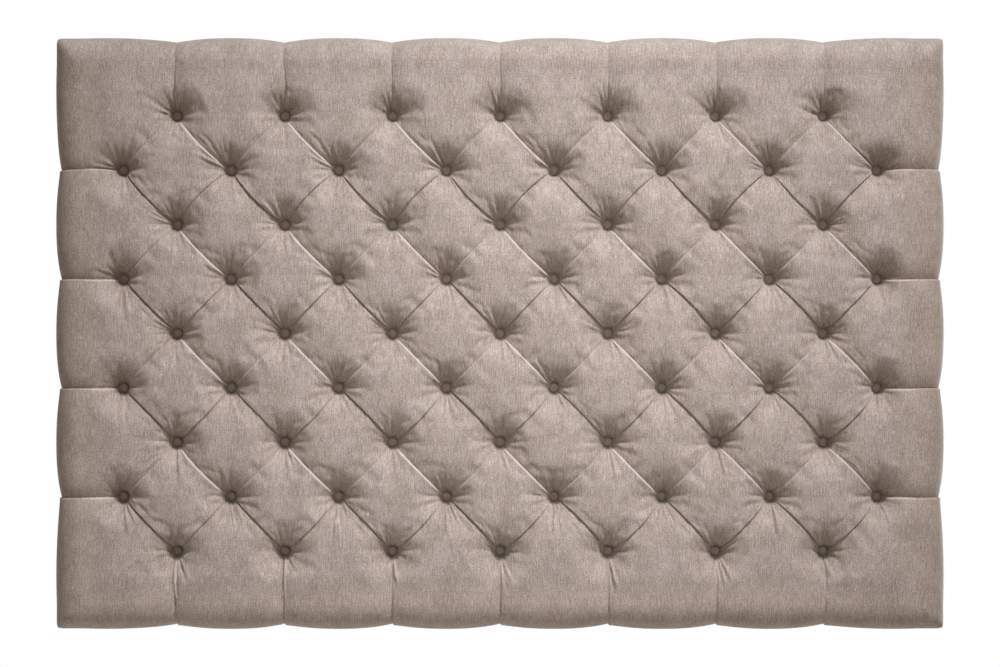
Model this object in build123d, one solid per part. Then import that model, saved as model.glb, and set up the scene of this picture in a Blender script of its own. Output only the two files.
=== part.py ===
"""Deep-buttoned wall headboard.

A half-lapped softwood frame and a drilled plywood face board carry foam, wadding and a tufted cover.
Each button is tied down through the board to a toggle. The panel hangs on a bevelled batten that is
screwed to the wall, and lifts off it.

Frame: millimetres, +Z up, +Y into the wall, so the front looks towards -Y. The origin is the middle of
the wall batten's back face, on the wall.
"""

from build123d import *
import math
import os

# Overall size, between the pleat notches of opposite edges
panel_width = 1600.0
panel_height = 1060.0
edge_bulge = 8.0  # how far the padding swells past the notches between two pleats

# Button pattern: short and full rows take turns, with a short row first and last
row_count = 9
full_row = 8
short_row = 7
side_margin = 114.0  # from an edge to the outer buttons of a full row
top_margin = 134.0  # from an edge to the first or last row

# Heights of the tufted surface in front of the face board
seat_height = 26.0
pleat_height = 64.0
crown_height = 80.0
notch_height = 40.0
swell_height = 50.0
seat_half_width = 11.0  # of the small flat that a button is pulled down on
# Each ring of a pillow: how far its outline has shrunk to the middle, and how far it has risen
pillow_ring_shares = ((0.80, 0.24), (0.45, 0.60))
lining_ring_shares = ((0.62, 0.42),)
# Along an edge, from one pleat to the next: the place, and the share of the bulge there
scallop_shares = ((0.0, 0.0), (0.3, 1.0), (0.7, 1.0))
corner_swell_share = 0.7

# Cover, padding and dust cloth
cover_thickness = 1.5
padding_gap = 0.6  # between the cover and the foam
edge_wadding_thickness = 4.0
wadding_gap = 0.3
return_width = 30.0  # of the cover on the back of the frame
dust_cloth_thickness = 0.8
dust_cloth_inset = 14.0
dust_cloth_gap = 1.0  # round the battens that pass through it

# Buttons, twine and toggles
button_radius = 9.0
button_height = 6.2
button_sides = 8
# The button's outline from its back: share of the radius, and share of the height
button_profile_shares = ((0.85, 0.0), (1.0, 0.4), (0.45, 1.0))
twine_width = 1.6
toggle_overlap = 4.0  # past each side of its hole
toggle_width = 5.0
toggle_thickness = 4.0
board_hole_radius = 4.0

# Face board and frame
board_thickness = 9.0
frame_thickness = 25.0
rail_width = 60.0
stile_width = 60.0
mid_stile_columns = 2.5  # from the centre line, in columns of buttons, so that it misses them all
peg_radius = 5.0
peg_clearance = 0.1
hole_sides = 6

# Battens, spacer and pads
batten_thickness = 18.0
batten_length = 1200.0
batten_height = 60.0
standoff = 1.0  # between the wall batten and the back of the panel
wall_gap = 1.0  # between the panel batten and the wall
spacer_height = 34.0
pad_width = 40.0
pad_height = 30.0
pad_thickness = 3.0
wall_hole_margin = 80.0  # from the batten's end to its outer hole
wall_hole_radius = 2.75
wall_hole_count = 4

# Screws that hold the panel batten and the spacer
screw_radius = 2.0
screw_head_radius = 4.0
screw_head_height = 2.5
screw_bite = 16.0  # in the rail
screw_clearance = 0.25
screw_place_shares = (-0.75, -0.25, 0.25, 0.75)
pad_place_shares = (-0.9, -0.3, 0.3, 0.9)

# Layers, from the wall to the front
back_y = -batten_thickness - standoff
cover_back_y = back_y - dust_cloth_thickness
frame_back_y = cover_back_y - cover_thickness
lap_y = frame_back_y - frame_thickness / 2
frame_front_y = frame_back_y - frame_thickness
face_y = frame_front_y - board_thickness
seat_y = face_y - seat_height

toggle_length = 2 * (board_hole_radius + toggle_overlap)

# Button pitch, and the frame's half sizes inside the wadding and the cover
button_pitch = (panel_width - 2 * side_margin) / (full_row - 1)
column_pitch = button_pitch / 2
row_pitch = (panel_height - 2 * top_margin) / (row_count - 1)
seat_half_height = seat_half_width * row_pitch / column_pitch
frame_inset = cover_thickness + edge_wadding_thickness + 2 * wadding_gap
frame_half_width = panel_width / 2 - frame_inset
frame_half_height = panel_height / 2 - frame_inset

# Heights in the panel, from its centre, and the panel's centre from the origin
first_row_z = panel_height / 2 - top_margin
hanging_rail_z = first_row_z - row_pitch / 2
edge_rail_z = frame_half_height - rail_width / 2
spacer_z = -(panel_height / 2 - return_width - dust_cloth_gap - spacer_height / 2)
wall_batten_z = hanging_rail_z - rail_width / 2 - batten_height / 2
centre_z = -wall_batten_z


def button_rows():
    """Each row's button centres, from the top row down, measured from the panel's centre."""
    rows = []
    for row in range(row_count):
        count = full_row if row % 2 else short_row
        z = first_row_z - row * row_pitch
        rows.append([((i - (count - 1) / 2) * button_pitch, z) for i in range(count)])
    return rows


rows = button_rows()
buttons = [place for row in rows for place in row]


def block(x_range, y_range, z_range):
    """A square-edged block between pairs of places; heights are from the panel's centre."""
    sizes = [abs(b - a) for a, b in (x_range, y_range, z_range)]
    middle = [(a + b) / 2 for a, b in (x_range, y_range, z_range)]
    return Pos(middle[0], middle[1], middle[2] + centre_z) * Box(*sizes)


def around(middle, width):
    """The two ends of a width about its middle."""
    return middle - width / 2, middle + width / 2


def rod(radius, sides, x, z, y_range):
    """A straight many-sided rod along Y; the height is from the panel's centre."""
    start, end = y_range
    plane = Plane(origin=(x, start, z + centre_z), x_dir=(1, 0, 0), z_dir=(0, 1, 0))
    return extrude(plane * RegularPolygon(radius, sides), amount=end - start)


def flat_face(points):
    return Face(Wire.make_polygon(points))


def bands(loops):
    """Flat faces from each closed loop of points to the next; a loop of one point is a tip."""
    faces = []
    for lower, upper in zip(loops, loops[1:]):
        for i in range(len(lower)):
            top = upper if len(upper) == 1 else [upper[i], upper[i - 1]]
            faces.append(flat_face([lower[i - 1], lower[i], *top]))
    return faces


def closed(faces):
    return Solid(Shell(faces))


# The tufted surface is a set of pillows. A pillow's outline runs along its pleats and past the seats
# of its buttons, and each of its points has a place, from the panel's centre, and a height.
def seat_corner(button, east, north):
    """A corner of a button's seat, where a slanting pleat starts."""
    return button[0] + east * seat_half_width, button[1] + north * seat_half_height, seat_height


def pleat_middle(a, b):
    return (a[0] + b[0]) / 2, (a[1] + b[1]) / 2, pleat_height


def edge_points(stops, half, corner_swell):
    """Points along an edge of the panel, from corner to corner, with a notch at each pleat."""
    points = []
    for start, end in zip(stops, stops[1:]):
        points += [(start + (end - start) * share, swell) for share, swell in scallop_shares]
    points.append((stops[-1], corner_swell))
    points[0] = (stops[0], corner_swell)
    rise = swell_height - notch_height
    return [(place, half + edge_bulge * swell, notch_height + rise * swell) for place, swell in points]


def top_edge(inset):
    half_x, half_z = panel_width / 2 - inset, panel_height / 2 - inset
    return edge_points([-half_x, *[x for x, z in rows[0]], half_x], half_z, corner_swell_share)


def left_edge(inset):
    half_x, half_z = panel_width / 2 - inset, panel_height / 2 - inset
    stops = [-half_z, *[row[0][1] for row in rows[-2::-2]], half_z]
    return [(-out, place, height) for place, out, height in edge_points(stops, half_x, 0)]


def diamond(left, right):
    """Outline of the pillow between two neighbours of one row."""
    top, bottom = [((left[0] + right[0]) / 2, left[1] + way * row_pitch) for way in (1, -1)]
    return [
        seat_corner(top, -1, -1), seat_corner(top, 1, -1), pleat_middle(top, right),
        seat_corner(right, -1, 1), seat_corner(right, -1, -1), pleat_middle(right, bottom),
        seat_corner(bottom, 1, 1), seat_corner(bottom, -1, 1), pleat_middle(bottom, left),
        seat_corner(left, 1, -1), seat_corner(left, 1, 1), pleat_middle(left, top),
    ]


def top_pillow(left, right, edge):
    """Outline of the pillow above two buttons of the first row, between two upright pleats."""
    low = ((left[0] + right[0]) / 2, left[1] - row_pitch)
    seat_top = left[1] + seat_half_height
    run = [point for point in edge if left[0] <= point[0] <= right[0]]
    upright = (seat_top + run[0][1]) / 2
    return [
        (left[0], seat_top, seat_height), seat_corner(left, 1, 1), seat_corner(left, 1, -1),
        pleat_middle(left, low), seat_corner(low, -1, 1), seat_corner(low, 1, 1),
        pleat_middle(low, right), seat_corner(right, -1, -1), seat_corner(right, -1, 1),
        (right[0], seat_top, seat_height), (right[0], upright, pleat_height),
        *reversed(run), (left[0], upright, pleat_height),
    ]


def side_pillow(upper, lower, edge):
    """Outline of the pillow left of two outer buttons, between two level pleats."""
    inner = (upper[0] + column_pitch, (upper[1] + lower[1]) / 2)
    seat_side = upper[0] - seat_half_width
    run = [point for point in edge if lower[1] <= point[1] <= upper[1]]
    level = (seat_side + run[0][0]) / 2
    return [
        (seat_side, upper[1], seat_height), seat_corner(upper, -1, -1), seat_corner(upper, 1, -1),
        pleat_middle(upper, inner), seat_corner(inner, -1, 1), seat_corner(inner, -1, -1),
        pleat_middle(inner, lower), seat_corner(lower, 1, 1), seat_corner(lower, -1, 1),
        (seat_side, lower[1], seat_height), (level, lower[1], pleat_height),
        *run, (level, upper[1], pleat_height),
    ]


def corner_pillow(upper, outer, top, side):
    """Outline of the pillow in the panel's top left corner."""
    seat_top, seat_side = upper[1] + seat_half_height, outer[0] - seat_half_width
    side_run = [point for point in side[:-1] if point[1] >= outer[1]]
    top_run = [point for point in top if point[0] <= upper[0]]
    return [
        (upper[0], seat_top, seat_height), seat_corner(upper, -1, 1), seat_corner(upper, -1, -1),
        pleat_middle(upper, outer), seat_corner(outer, 1, 1), seat_corner(outer, -1, 1),
        (seat_side, outer[1], seat_height), ((seat_side + side_run[0][0]) / 2, outer[1], pleat_height),
        *side_run, *top_run, (upper[0], (seat_top + top_run[-1][1]) / 2, pleat_height),
    ]


def mirrored(outline, flip_x, flip_z):
    return [(flip_x * x, flip_z * z, height) for x, z, height in outline]


def pillow_outlines(inset):
    """Every pillow's outline, in a skin whose edges lie inset from the outer one."""
    top, side = top_edge(inset), left_edge(inset)
    outer = [row[0] for row in rows[1::2]]
    tops = [top_pillow(a, b, top) for a, b in zip(rows[0], rows[0][1:])]
    sides = [side_pillow(a, b, side) for a, b in zip(outer, outer[1:])]
    corner = corner_pillow(rows[0][0], outer[0], top, side)
    outlines = [diamond(a, b) for row in rows[1:-1] for a, b in zip(row, row[1:])]
    outlines += [mirrored(outline, 1, flip) for outline in tops for flip in (1, -1)]
    outlines += [mirrored(outline, flip, 1) for outline in sides for flip in (1, -1)]
    outlines += [mirrored(corner, flip_x, flip_z) for flip_x in (1, -1) for flip_z in (1, -1)]
    return outlines


def surface_point(x, z, height):
    return Vector(x, face_y - height, z + centre_z)


def pillow_faces(outline, ring_shares, inset):
    """Flat faces of a pillow: its outline shrinks to the middle, ring by ring, as it rises."""
    middle_x, middle_z = [(min(p[i] for p in outline) + max(p[i] for p in outline)) / 2 for i in (0, 1)]
    crown = crown_height - inset
    loops = []
    for shrink, rise in ((1, 0), *ring_shares):
        loops.append([
            surface_point(
                middle_x + (x - middle_x) * shrink,
                middle_z + (z - middle_z) * shrink,
                (height - inset) * shrink + crown * rise,
            )
            for x, z, height in outline
        ])
    loops.append([surface_point(middle_x, middle_z, crown)])
    return bands(loops)


def seat_faces(inset):
    """The flat under each button, with a corner wherever a pleat starts."""
    faces = []
    for row in rows:
        for x, z in row:
            corners = [seat_corner((x, z), 1, 1)]
            if row is rows[0]:
                corners.append((x, z + seat_half_height, seat_height))
            corners.append(seat_corner((x, z), -1, 1))
            if len(row) == full_row and x == row[0][0]:
                corners.append((x - seat_half_width, z, seat_height))
            corners.append(seat_corner((x, z), -1, -1))
            if row is rows[-1]:
                corners.append((x, z - seat_half_height, seat_height))
            corners.append(seat_corner((x, z), 1, -1))
            if len(row) == full_row and x == row[-1][0]:
                corners.append((x + seat_half_width, z, seat_height))
            faces.append(flat_face([surface_point(a, b, height - inset) for a, b, height in corners]))
    return faces


def skin(inset, ring_shares, foot_y):
    """Faces of one skin of the padding, and the loop where its sides end on the plane foot_y."""
    top, side = top_edge(inset), left_edge(inset)[1:-1]
    edge = [*side, *top, *reversed(mirrored(side, -1, 1)), *reversed(mirrored(top, 1, -1))]
    half_x, half_z = panel_width / 2 - inset, panel_height / 2 - inset
    front = [surface_point(x, z, height - inset) for x, z, height in edge]
    feet = [(max(-half_x, min(half_x, x)), max(-half_z, min(half_z, z)) + centre_z) for x, z, _ in edge]
    board_loop = [Vector(x, face_y, z) for x, z in feet]
    foot_loop = [Vector(x, foot_y, z) for x, z in feet]
    faces = seat_faces(inset)
    for outline in pillow_outlines(inset):
        faces += pillow_faces(outline, ring_shares, inset)
    for i in range(len(edge)):
        faces.append(flat_face([front[i - 1], front[i], board_loop[i]]))
        faces.append(flat_face([front[i - 1], board_loop[i], board_loop[i - 1]]))
    if foot_y > face_y:
        faces += bands([board_loop, foot_loop])
    return faces, foot_loop


def make_cover():
    """Cloth with its thin wadding: the tufted front, the sides and the return on the back."""
    outer, outer_loop = skin(0, pillow_ring_shares, cover_back_y)
    lining, lining_loop = skin(cover_thickness, lining_ring_shares, frame_back_y)
    half_x, half_z = panel_width / 2 - return_width, panel_height / 2 - return_width
    opening = [(-half_x, -half_z), (-half_x, half_z), (half_x, half_z), (half_x, -half_z)]
    rims = [[Vector(x, y, z + centre_z) for x, z in opening] for y in (cover_back_y, frame_back_y)]
    returns = [
        Face(Wire.make_polygon(loop), [Wire.make_polygon(rim)])
        for loop, rim in zip((outer_loop, lining_loop), rims)
    ]
    return closed(outer + lining + returns + bands(rims))


def make_foam_pad():
    """Foam cut to the tufted surface, one point to a pillow, flat on the face board."""
    top, loop = skin(cover_thickness + padding_gap, (), face_y)
    return closed([*top, flat_face(loop)])


def make_edge_wadding():
    """A band of wadding round the frame and the face board."""
    outer = cover_thickness + wadding_gap
    inner = outer + edge_wadding_thickness
    x_outer, x_inner = [around(0, panel_width - 2 * inset) for inset in (outer, inner)]
    z_outer, z_inner = [around(0, panel_height - 2 * inset) for inset in (outer, inner)]
    layer = (face_y, frame_back_y)
    return block(x_outer, layer, z_outer) - block(x_inner, layer, z_inner)


def make_button(x, z):
    """A covered button with a domed face, its flat back on its seat."""
    loops = []
    for radius_share, height_share in button_profile_shares:
        y = seat_y - button_height * height_share
        turns = [2 * math.pi * (i + 1 / 2) / button_sides for i in range(button_sides)]
        radius = button_radius * radius_share
        loops.append([
            Vector(x + radius * math.cos(turn), y, z + centre_z + radius * math.sin(turn))
            for turn in turns
        ])
    return closed([*bands(loops), flat_face(loops[0]), flat_face(loops[-1])])


def make_twine(x, z):
    """Doubled twine from the button's back, through the padding and the board, to its toggle."""
    return block(around(x, twine_width), (seat_y, frame_front_y), around(z, twine_width))


def make_toggle(x, z):
    """A short bar behind the board that the twine is tied round."""
    layer = (frame_front_y, frame_front_y + toggle_thickness)
    return block(around(x, toggle_width), layer, around(z, toggle_length))


def make_face_board():
    """Plywood with a hole for each button's twine."""
    layer = (face_y, frame_front_y)
    board = block(around(0, 2 * frame_half_width), layer, around(0, 2 * frame_half_height))
    return board - [rod(board_hole_radius, hole_sides, x, z, layer) for x, z in buttons]


# Frame: the rails run through behind, the stiles in front, halved where they cross
rails = {"top_rail": edge_rail_z, "hanging_rail": hanging_rail_z, "bottom_rail": -edge_rail_z}
stiles = {
    "left_stile": -frame_half_width + stile_width / 2,
    "left_mid_stile": -mid_stile_columns * column_pitch,
    "right_mid_stile": mid_stile_columns * column_pitch,
    "right_stile": frame_half_width - stile_width / 2,
}
laps = [(x, z) for x in stiles.values() for z in rails.values()]
screw_places = [share * batten_length / 2 for share in screw_place_shares]


def peg_holes():
    layer = (frame_front_y, frame_back_y)
    return [rod(peg_radius + peg_clearance, hole_sides, x, z, layer) for x, z in laps]


def make_rail(z):
    layer = (frame_front_y, frame_back_y)
    rail = block(around(0, 2 * frame_half_width), layer, around(z, rail_width))
    for x in stiles.values():
        rail -= block(around(x, stile_width), (frame_front_y, lap_y), around(z, rail_width))
    return rail - [hole for hole, (_, lap_z) in zip(peg_holes(), laps) if lap_z == z]


def make_stile(x):
    layer = (frame_front_y, frame_back_y)
    stile = block(around(x, stile_width), layer, around(0, 2 * frame_half_height))
    for z in rails.values():
        stile -= block(around(x, stile_width), (lap_y, frame_back_y), around(z, rail_width))
    return stile - [hole for hole, (lap_x, _) in zip(peg_holes(), laps) if lap_x == x]


def make_pegs():
    layer = (frame_front_y, frame_back_y)
    return [rod(peg_radius, hole_sides, x, z, layer) for x, z in laps]


def make_screw(x, z, head_y):
    """A flat-headed screw into the frame, its head's face at head_y."""
    neck_y = head_y - screw_head_height
    tip_y = frame_back_y - screw_bite
    head = rod(screw_head_radius, hole_sides, x, z, (neck_y, head_y))
    return head + rod(screw_radius, hole_sides, x, z, (tip_y, neck_y))


def screw_room(x, z, head_y):
    """The room for a screw: its hole, and a pocket that its head is sunk in."""
    neck_y = head_y - screw_head_height
    tip_y = frame_back_y - screw_bite - screw_clearance
    pocket = rod(screw_head_radius + screw_clearance, hole_sides, x, z, (neck_y, 0))
    return pocket + rod(screw_radius + screw_clearance, hole_sides, x, z, (tip_y, neck_y))


# Panel batten: its bevel goes on along the wall batten's, out to the frame
bevel_z = wall_batten_z + batten_height / 2
panel_batten_back_y = -wall_gap
panel_batten_low_z = bevel_z - batten_thickness + wall_gap
panel_batten_top_z = panel_batten_low_z + batten_height
batten_screw_z = (bevel_z + panel_batten_top_z) / 2
batten_head_y = panel_batten_back_y - screw_head_height
spacer_back_y = -pad_thickness
spacer_head_y = spacer_back_y - screw_head_height


def batten(outline):
    """A board of the battens' length, with its section's corners given as places y and z."""
    section = Plane.YZ * make_face(Polyline(*[(y, z + centre_z) for y, z in outline], close=True))
    return extrude(section, amount=batten_length / 2, both=True)


def make_wall_batten():
    """Bevelled batten on the wall, its sharp edge away from the wall, with four screw holes."""
    low = wall_batten_z - batten_height / 2
    body = batten([
        (0, low), (-batten_thickness, low), (-batten_thickness, bevel_z),
        (0, bevel_z - batten_thickness),
    ])
    span = batten_length - 2 * wall_hole_margin
    for i in range(wall_hole_count):
        x = -span / 2 + i * span / (wall_hole_count - 1)
        hole = Rot(90, 0, 0) * Cylinder(wall_hole_radius, batten_thickness)
        body -= Pos(x, -batten_thickness / 2, 0) * hole
    return body


def make_panel_batten():
    """Batten on the hanging rail that hooks over the wall batten."""
    body = batten([
        (frame_back_y, bevel_z - batten_thickness - frame_back_y),
        (panel_batten_back_y, panel_batten_low_z),
        (panel_batten_back_y, panel_batten_top_z),
        (frame_back_y, panel_batten_top_z),
    ])
    return body - [screw_room(x, batten_screw_z, batten_head_y) for x in screw_places]


def make_lower_spacer():
    """Plain batten on the bottom rail that keeps the panel upright."""
    layer = (frame_back_y, spacer_back_y)
    body = block(around(0, batten_length), layer, around(spacer_z, spacer_height))
    return body - [screw_room(x, spacer_z, spacer_head_y) for x in screw_places]


def make_wall_pads():
    places = [share * batten_length / 2 for share in pad_place_shares]
    layer = (-pad_thickness, 0)
    return [block(around(x, pad_width), layer, around(spacer_z, pad_height)) for x in places]


def make_dust_cloth():
    """Thin cloth over the back, cut out round the panel batten and the spacer."""
    layer = (cover_back_y, back_y)
    width, height = panel_width - 2 * dust_cloth_inset, panel_height - 2 * dust_cloth_inset
    window = around(0, batten_length + 2 * dust_cloth_gap)
    batten_room = (bevel_z, panel_batten_top_z + dust_cloth_gap)
    spacer_room = around(spacer_z, spacer_height + 2 * dust_cloth_gap)
    cloth = block(around(0, width), layer, around(0, height))
    return cloth - block(window, layer, batten_room) - block(window, layer, spacer_room)


parts = {
    "cover": make_cover(),
    "foam_pad": make_foam_pad(),
    "edge_wadding": make_edge_wadding(),
    "face_board": make_face_board(),
    "frame_pegs": make_pegs(),
    "tufting_twine": [make_twine(x, z) for x, z in buttons],
    "twine_toggles": [make_toggle(x, z) for x, z in buttons],
    "wall_batten": make_wall_batten(),
    "panel_batten": make_panel_batten(),
    "batten_screws": [make_screw(x, batten_screw_z, batten_head_y) for x in screw_places],
    "lower_spacer": make_lower_spacer(),
    "spacer_screws": [make_screw(x, spacer_z, spacer_head_y) for x in screw_places],
    "wall_pads": make_wall_pads(),
    "dust_cloth": make_dust_cloth(),
}
for number, row in enumerate(rows, start=1):
    parts[f"button_row_{number}"] = [make_button(x, z) for x, z in row]
for name, z in rails.items():
    parts[name] = make_rail(z)
for name, x in stiles.items():
    parts[name] = make_stile(x)
parts["hanging_rail"] -= [screw_room(x, batten_screw_z, batten_head_y) for x in screw_places]
parts["bottom_rail"] -= [screw_room(x, spacer_z, spacer_head_y) for x in screw_places]

os.makedirs("parts", exist_ok=True)
for name, shape in parts.items():
    export_step(Compound(children=shape) if isinstance(shape, list) else shape, f"parts/{name}.step")
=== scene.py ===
import math

import bmesh
import bpy
import numpy as np
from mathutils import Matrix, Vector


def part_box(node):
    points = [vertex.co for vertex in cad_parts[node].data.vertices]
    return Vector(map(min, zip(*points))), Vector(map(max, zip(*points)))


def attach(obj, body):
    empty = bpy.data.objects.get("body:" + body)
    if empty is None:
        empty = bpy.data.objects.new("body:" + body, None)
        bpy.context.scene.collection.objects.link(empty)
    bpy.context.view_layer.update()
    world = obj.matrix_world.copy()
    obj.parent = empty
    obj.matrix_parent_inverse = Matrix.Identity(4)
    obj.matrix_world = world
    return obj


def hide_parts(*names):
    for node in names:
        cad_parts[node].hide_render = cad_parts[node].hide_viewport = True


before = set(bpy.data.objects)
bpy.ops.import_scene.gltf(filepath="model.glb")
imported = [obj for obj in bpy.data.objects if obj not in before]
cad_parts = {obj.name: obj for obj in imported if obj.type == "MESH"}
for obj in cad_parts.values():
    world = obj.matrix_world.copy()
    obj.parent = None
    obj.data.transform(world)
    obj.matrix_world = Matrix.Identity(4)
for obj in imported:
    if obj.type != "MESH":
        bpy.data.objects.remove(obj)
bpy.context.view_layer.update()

# Studio. A pale floor lies under the hung panel, and the light is soft: a wide lamp above and a little to
# the right, a weak one in front, one behind, and an even sky that shows as white behind the panel.
# The camera stands square on, far enough away that the panel's sides stay hidden, as in the photograph.
cover_low, cover_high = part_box("cover")
panel_z = (cover_low.z + cover_high.z) / 2
photo_width = 1000
panel_pixels = 880
edge_swell = 0.008
half_width = cover_high.x - edge_swell
half_height = (cover_high.z - cover_low.z) / 2 - edge_swell
lens_mm, sensor_mm = 100, 36
view_width = 2 * half_width * photo_width / panel_pixels
edge_depth = -0.10
camera_y = edge_depth - view_width * lens_mm / sensor_mm


def placed(name, data):
    """A new object at the origin, in the scene."""
    thing = bpy.data.objects.new(name, data)
    bpy.context.scene.collection.objects.link(thing)
    return thing


camera = placed("camera", bpy.data.cameras.new("camera"))
camera.data.lens, camera.data.sensor_width = lens_mm, sensor_mm
camera.location = (0.0, camera_y, panel_z)
camera.rotation_euler = (math.radians(90), 0, 0)
bpy.context.scene.camera = camera
bpy.context.scene.view_settings.view_transform = "Standard"


def soft_lamp(name, place, aim, size, watts, colour, spread=180):
    """A square area lamp at a place, turned to aim at a point, its light kept within a spread in degrees."""
    lamp = placed(name, bpy.data.lights.new(name, "AREA"))
    lamp.data.size, lamp.data.energy, lamp.data.color = size, watts, colour
    lamp.data.spread = math.radians(spread)
    lamp.location = place
    direction = Vector(aim) - Vector(place)
    lamp.rotation_euler = direction.to_track_quat("-Z", "Y").to_euler()


soft_lamp("top_lamp", (1.4, -2.6, panel_z + 3.4), (-0.42, 0, panel_z - 1.0), 1.1, 38, (0.92, 0.97, 1.07), 60)
soft_lamp("front_lamp", (0.5, -4.6, panel_z + 1.3), (0.08, 0, panel_z - 0.02), 0.7, 1.7, (1.0, 0.97, 0.94), 27)
soft_lamp("back_lamp", (0, 3.2, panel_z + 0.3), (0, 0, panel_z - 0.1), 1.2, 30, (1, 1, 1), 120)


def feed(tree, node, takes):
    """Gives a node's sockets, by name or number, a value of their own or a link from another node's output."""
    for socket, value in takes.items():
        if isinstance(value, bpy.types.NodeSocket):
            tree.links.new(value, node.inputs[socket])
        else:
            node.inputs[socket].default_value = value


def shader(tree, kind, takes=None, **settings):
    """Adds a shader node with its settings and what its sockets take, and returns its outputs."""
    node = tree.nodes.new(f"ShaderNode{kind}")
    for name, value in settings.items():
        setattr(node, name, value)
    feed(tree, node, takes or {})
    return node.outputs


def seen_rays(tree):
    """One for rays that see the background as it looks, from the camera or by mirror and glass, and nought else."""
    path = shader(tree, "LightPath")
    seen = path["Is Camera Ray"]
    for ray in ("Is Glossy Ray", "Is Transmission Ray"):
        seen = shader(tree, "Math", {0: seen, 1: path[ray]}, operation="MAXIMUM")[0]
    return seen


sky = bpy.data.worlds.new("sky")
sky.use_nodes = True
bpy.context.scene.world = sky
sky_tree = sky.node_tree
sky_light = sky_tree.nodes["Background"]
feed(sky_tree, sky_light, {"Color": (1.0, 0.86, 0.70, 1), "Strength": 0.23})
sky_seen = shader(sky_tree, "Background", {"Color": (1, 1, 1, 1)})
sky_mix = shader(sky_tree, "MixShader", {"Fac": seen_rays(sky_tree), 1: sky_light.outputs[0], 2: sky_seen[0]})
feed(sky_tree, sky_tree.nodes["World Output"], {"Surface": sky_mix[0]})

floor_drop = 0.9
floor_z = cover_low.z - floor_drop
floor_mesh = bpy.data.meshes.new("floor")
floor_side, floor_front, floor_back = 12, -14, 6.5
floor_mesh.from_pydata([(-floor_side, floor_front, floor_z), (floor_side, floor_front, floor_z),
                        (floor_side, floor_back, floor_z), (-floor_side, floor_back, floor_z)], [], [(0, 1, 2, 3)])
floor = placed("floor", floor_mesh)


def blank(name):
    """A new material, its node tree and its shader."""
    material = bpy.data.materials.new(name)
    material.use_nodes = True
    return material, material.node_tree, material.node_tree.nodes["Principled BSDF"]


floor_paint, floor_tree, floor_body = blank("floor_paint")
floor_glow = shader(floor_tree, "Math", {0: seen_rays(floor_tree), 1: 0.6}, operation="MULTIPLY")
feed(floor_tree, floor_body, {"Roughness": 0.9, "Base Color": (0.78, 0.77, 0.75, 1), "Emission Color": (1, 1, 1, 1),
                              "Emission Strength": floor_glow[0]})
floor_mesh.materials.append(floor_paint)

# Timber. The battens, the spacer, the frame and the pegs are planed wood with the grain along each board;
# the face board is birch plywood. The boards meet in half-laps that the pegs go through.


def effect(name, takes, gives):
    """A shader node group with its named sockets: its tree, what it is given, and its last node."""
    tree = bpy.data.node_groups.new(name, "ShaderNodeTree")
    for sockets, way in ((takes, "INPUT"), (gives, "OUTPUT")):
        for socket, kind in sockets.items():
            tree.interface.new_socket(socket, in_out=way, socket_type=f"NodeSocket{kind}")
    return tree, tree.nodes.new("NodeGroupInput").outputs, tree.nodes.new("NodeGroupOutput")


def mixed(tree, amount, first, second, kind="MIX"):
    """Two colours mixed by an amount."""
    takes = {"Factor": amount, "A": first, "B": second}
    return shader(tree, "Mix", takes, data_type="RGBA", blend_type=kind)["Result"]


def raised(tree, height, strength, rise):
    """The normals of a surface that a height raises."""
    return shader(tree, "Bump", {"Height": height, "Strength": strength, "Distance": rise})["Normal"]


def grain_group():
    """Wood grain: long rings from a wave that noise bends, with fine pores along the board."""
    tree, start, end = effect("wood_grain", {"Vector": "Vector", "Early": "Color", "Late": "Color"},
                              {"Color": "Color", "Height": "Float"})
    ring_form = {"Vector": start["Vector"], "Scale": 9.0, "Distortion": 5.0, "Detail": 3.0}
    rings = shader(tree, "TexWave", ring_form, bands_direction="Y")["Fac"]
    pores = shader(tree, "TexNoise", {"Vector": start["Vector"], "Scale": 90.0, "Detail": 4.0})["Fac"]
    both = shader(tree, "Math", {0: pores, 1: 0.35, 2: rings}, operation="MULTIPLY_ADD")[0]
    tone = shader(tree, "MapRange", {"Value": both, "From Min": 0.25, "From Max": 1.2})["Result"]
    feed(tree, end, {"Color": mixed(tree, tone, start["Early"], start["Late"]), "Height": both})
    return tree


wood_grain = grain_group()


def timber(name, early, late, stretch):
    """Planed wood: its grain runs along the axis that stretch makes slow."""
    material, tree, body = blank(name)
    place = shader(tree, "Mapping", {"Vector": shader(tree, "TexCoord")["Object"], "Scale": stretch})["Vector"]
    grain = shader(tree, "Group", {"Vector": place, "Early": (*early, 1), "Late": (*late, 1)}, node_tree=wood_grain)
    feed(tree, body, {"Base Color": grain["Color"], "Normal": raised(tree, grain["Height"], 0.35, 0.0006),
                      "Roughness": 0.62})
    return material


def paint_node(node, material):
    """Gives a CAD node one material."""
    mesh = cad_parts[node].data
    mesh.materials.clear()
    mesh.materials.append(material)


along_x, along_z = (0.6, 8.0, 8.0), (8.0, 8.0, 0.6)
pine_light, pine_dark = (0.72, 0.53, 0.32), (0.52, 0.33, 0.17)
pine_across = timber("pine_rails", pine_light, pine_dark, along_x)
pine_upright = timber("pine_stiles", pine_light, pine_dark, along_z)
batten_wood = timber("batten_board", (0.66, 0.47, 0.28), (0.46, 0.29, 0.15), along_x)
peg_wood = timber("beech_pegs", (0.62, 0.42, 0.27), (0.50, 0.31, 0.18), (30.0, 3.0, 30.0))
birch_ply = timber("birch_ply", (0.74, 0.60, 0.42), (0.63, 0.47, 0.30), (1.2, 160.0, 6.0))
for node in ("wall_batten", "panel_batten", "lower_spacer"):
    paint_node(node, batten_wood)
for node in ("top_rail", "hanging_rail", "bottom_rail"):
    paint_node(node, pine_across)
for node in ("left_stile", "left_mid_stile", "right_mid_stile", "right_stile"):
    paint_node(node, pine_upright)
paint_node("frame_pegs", peg_wood)
paint_node("face_board", birch_ply)

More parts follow.
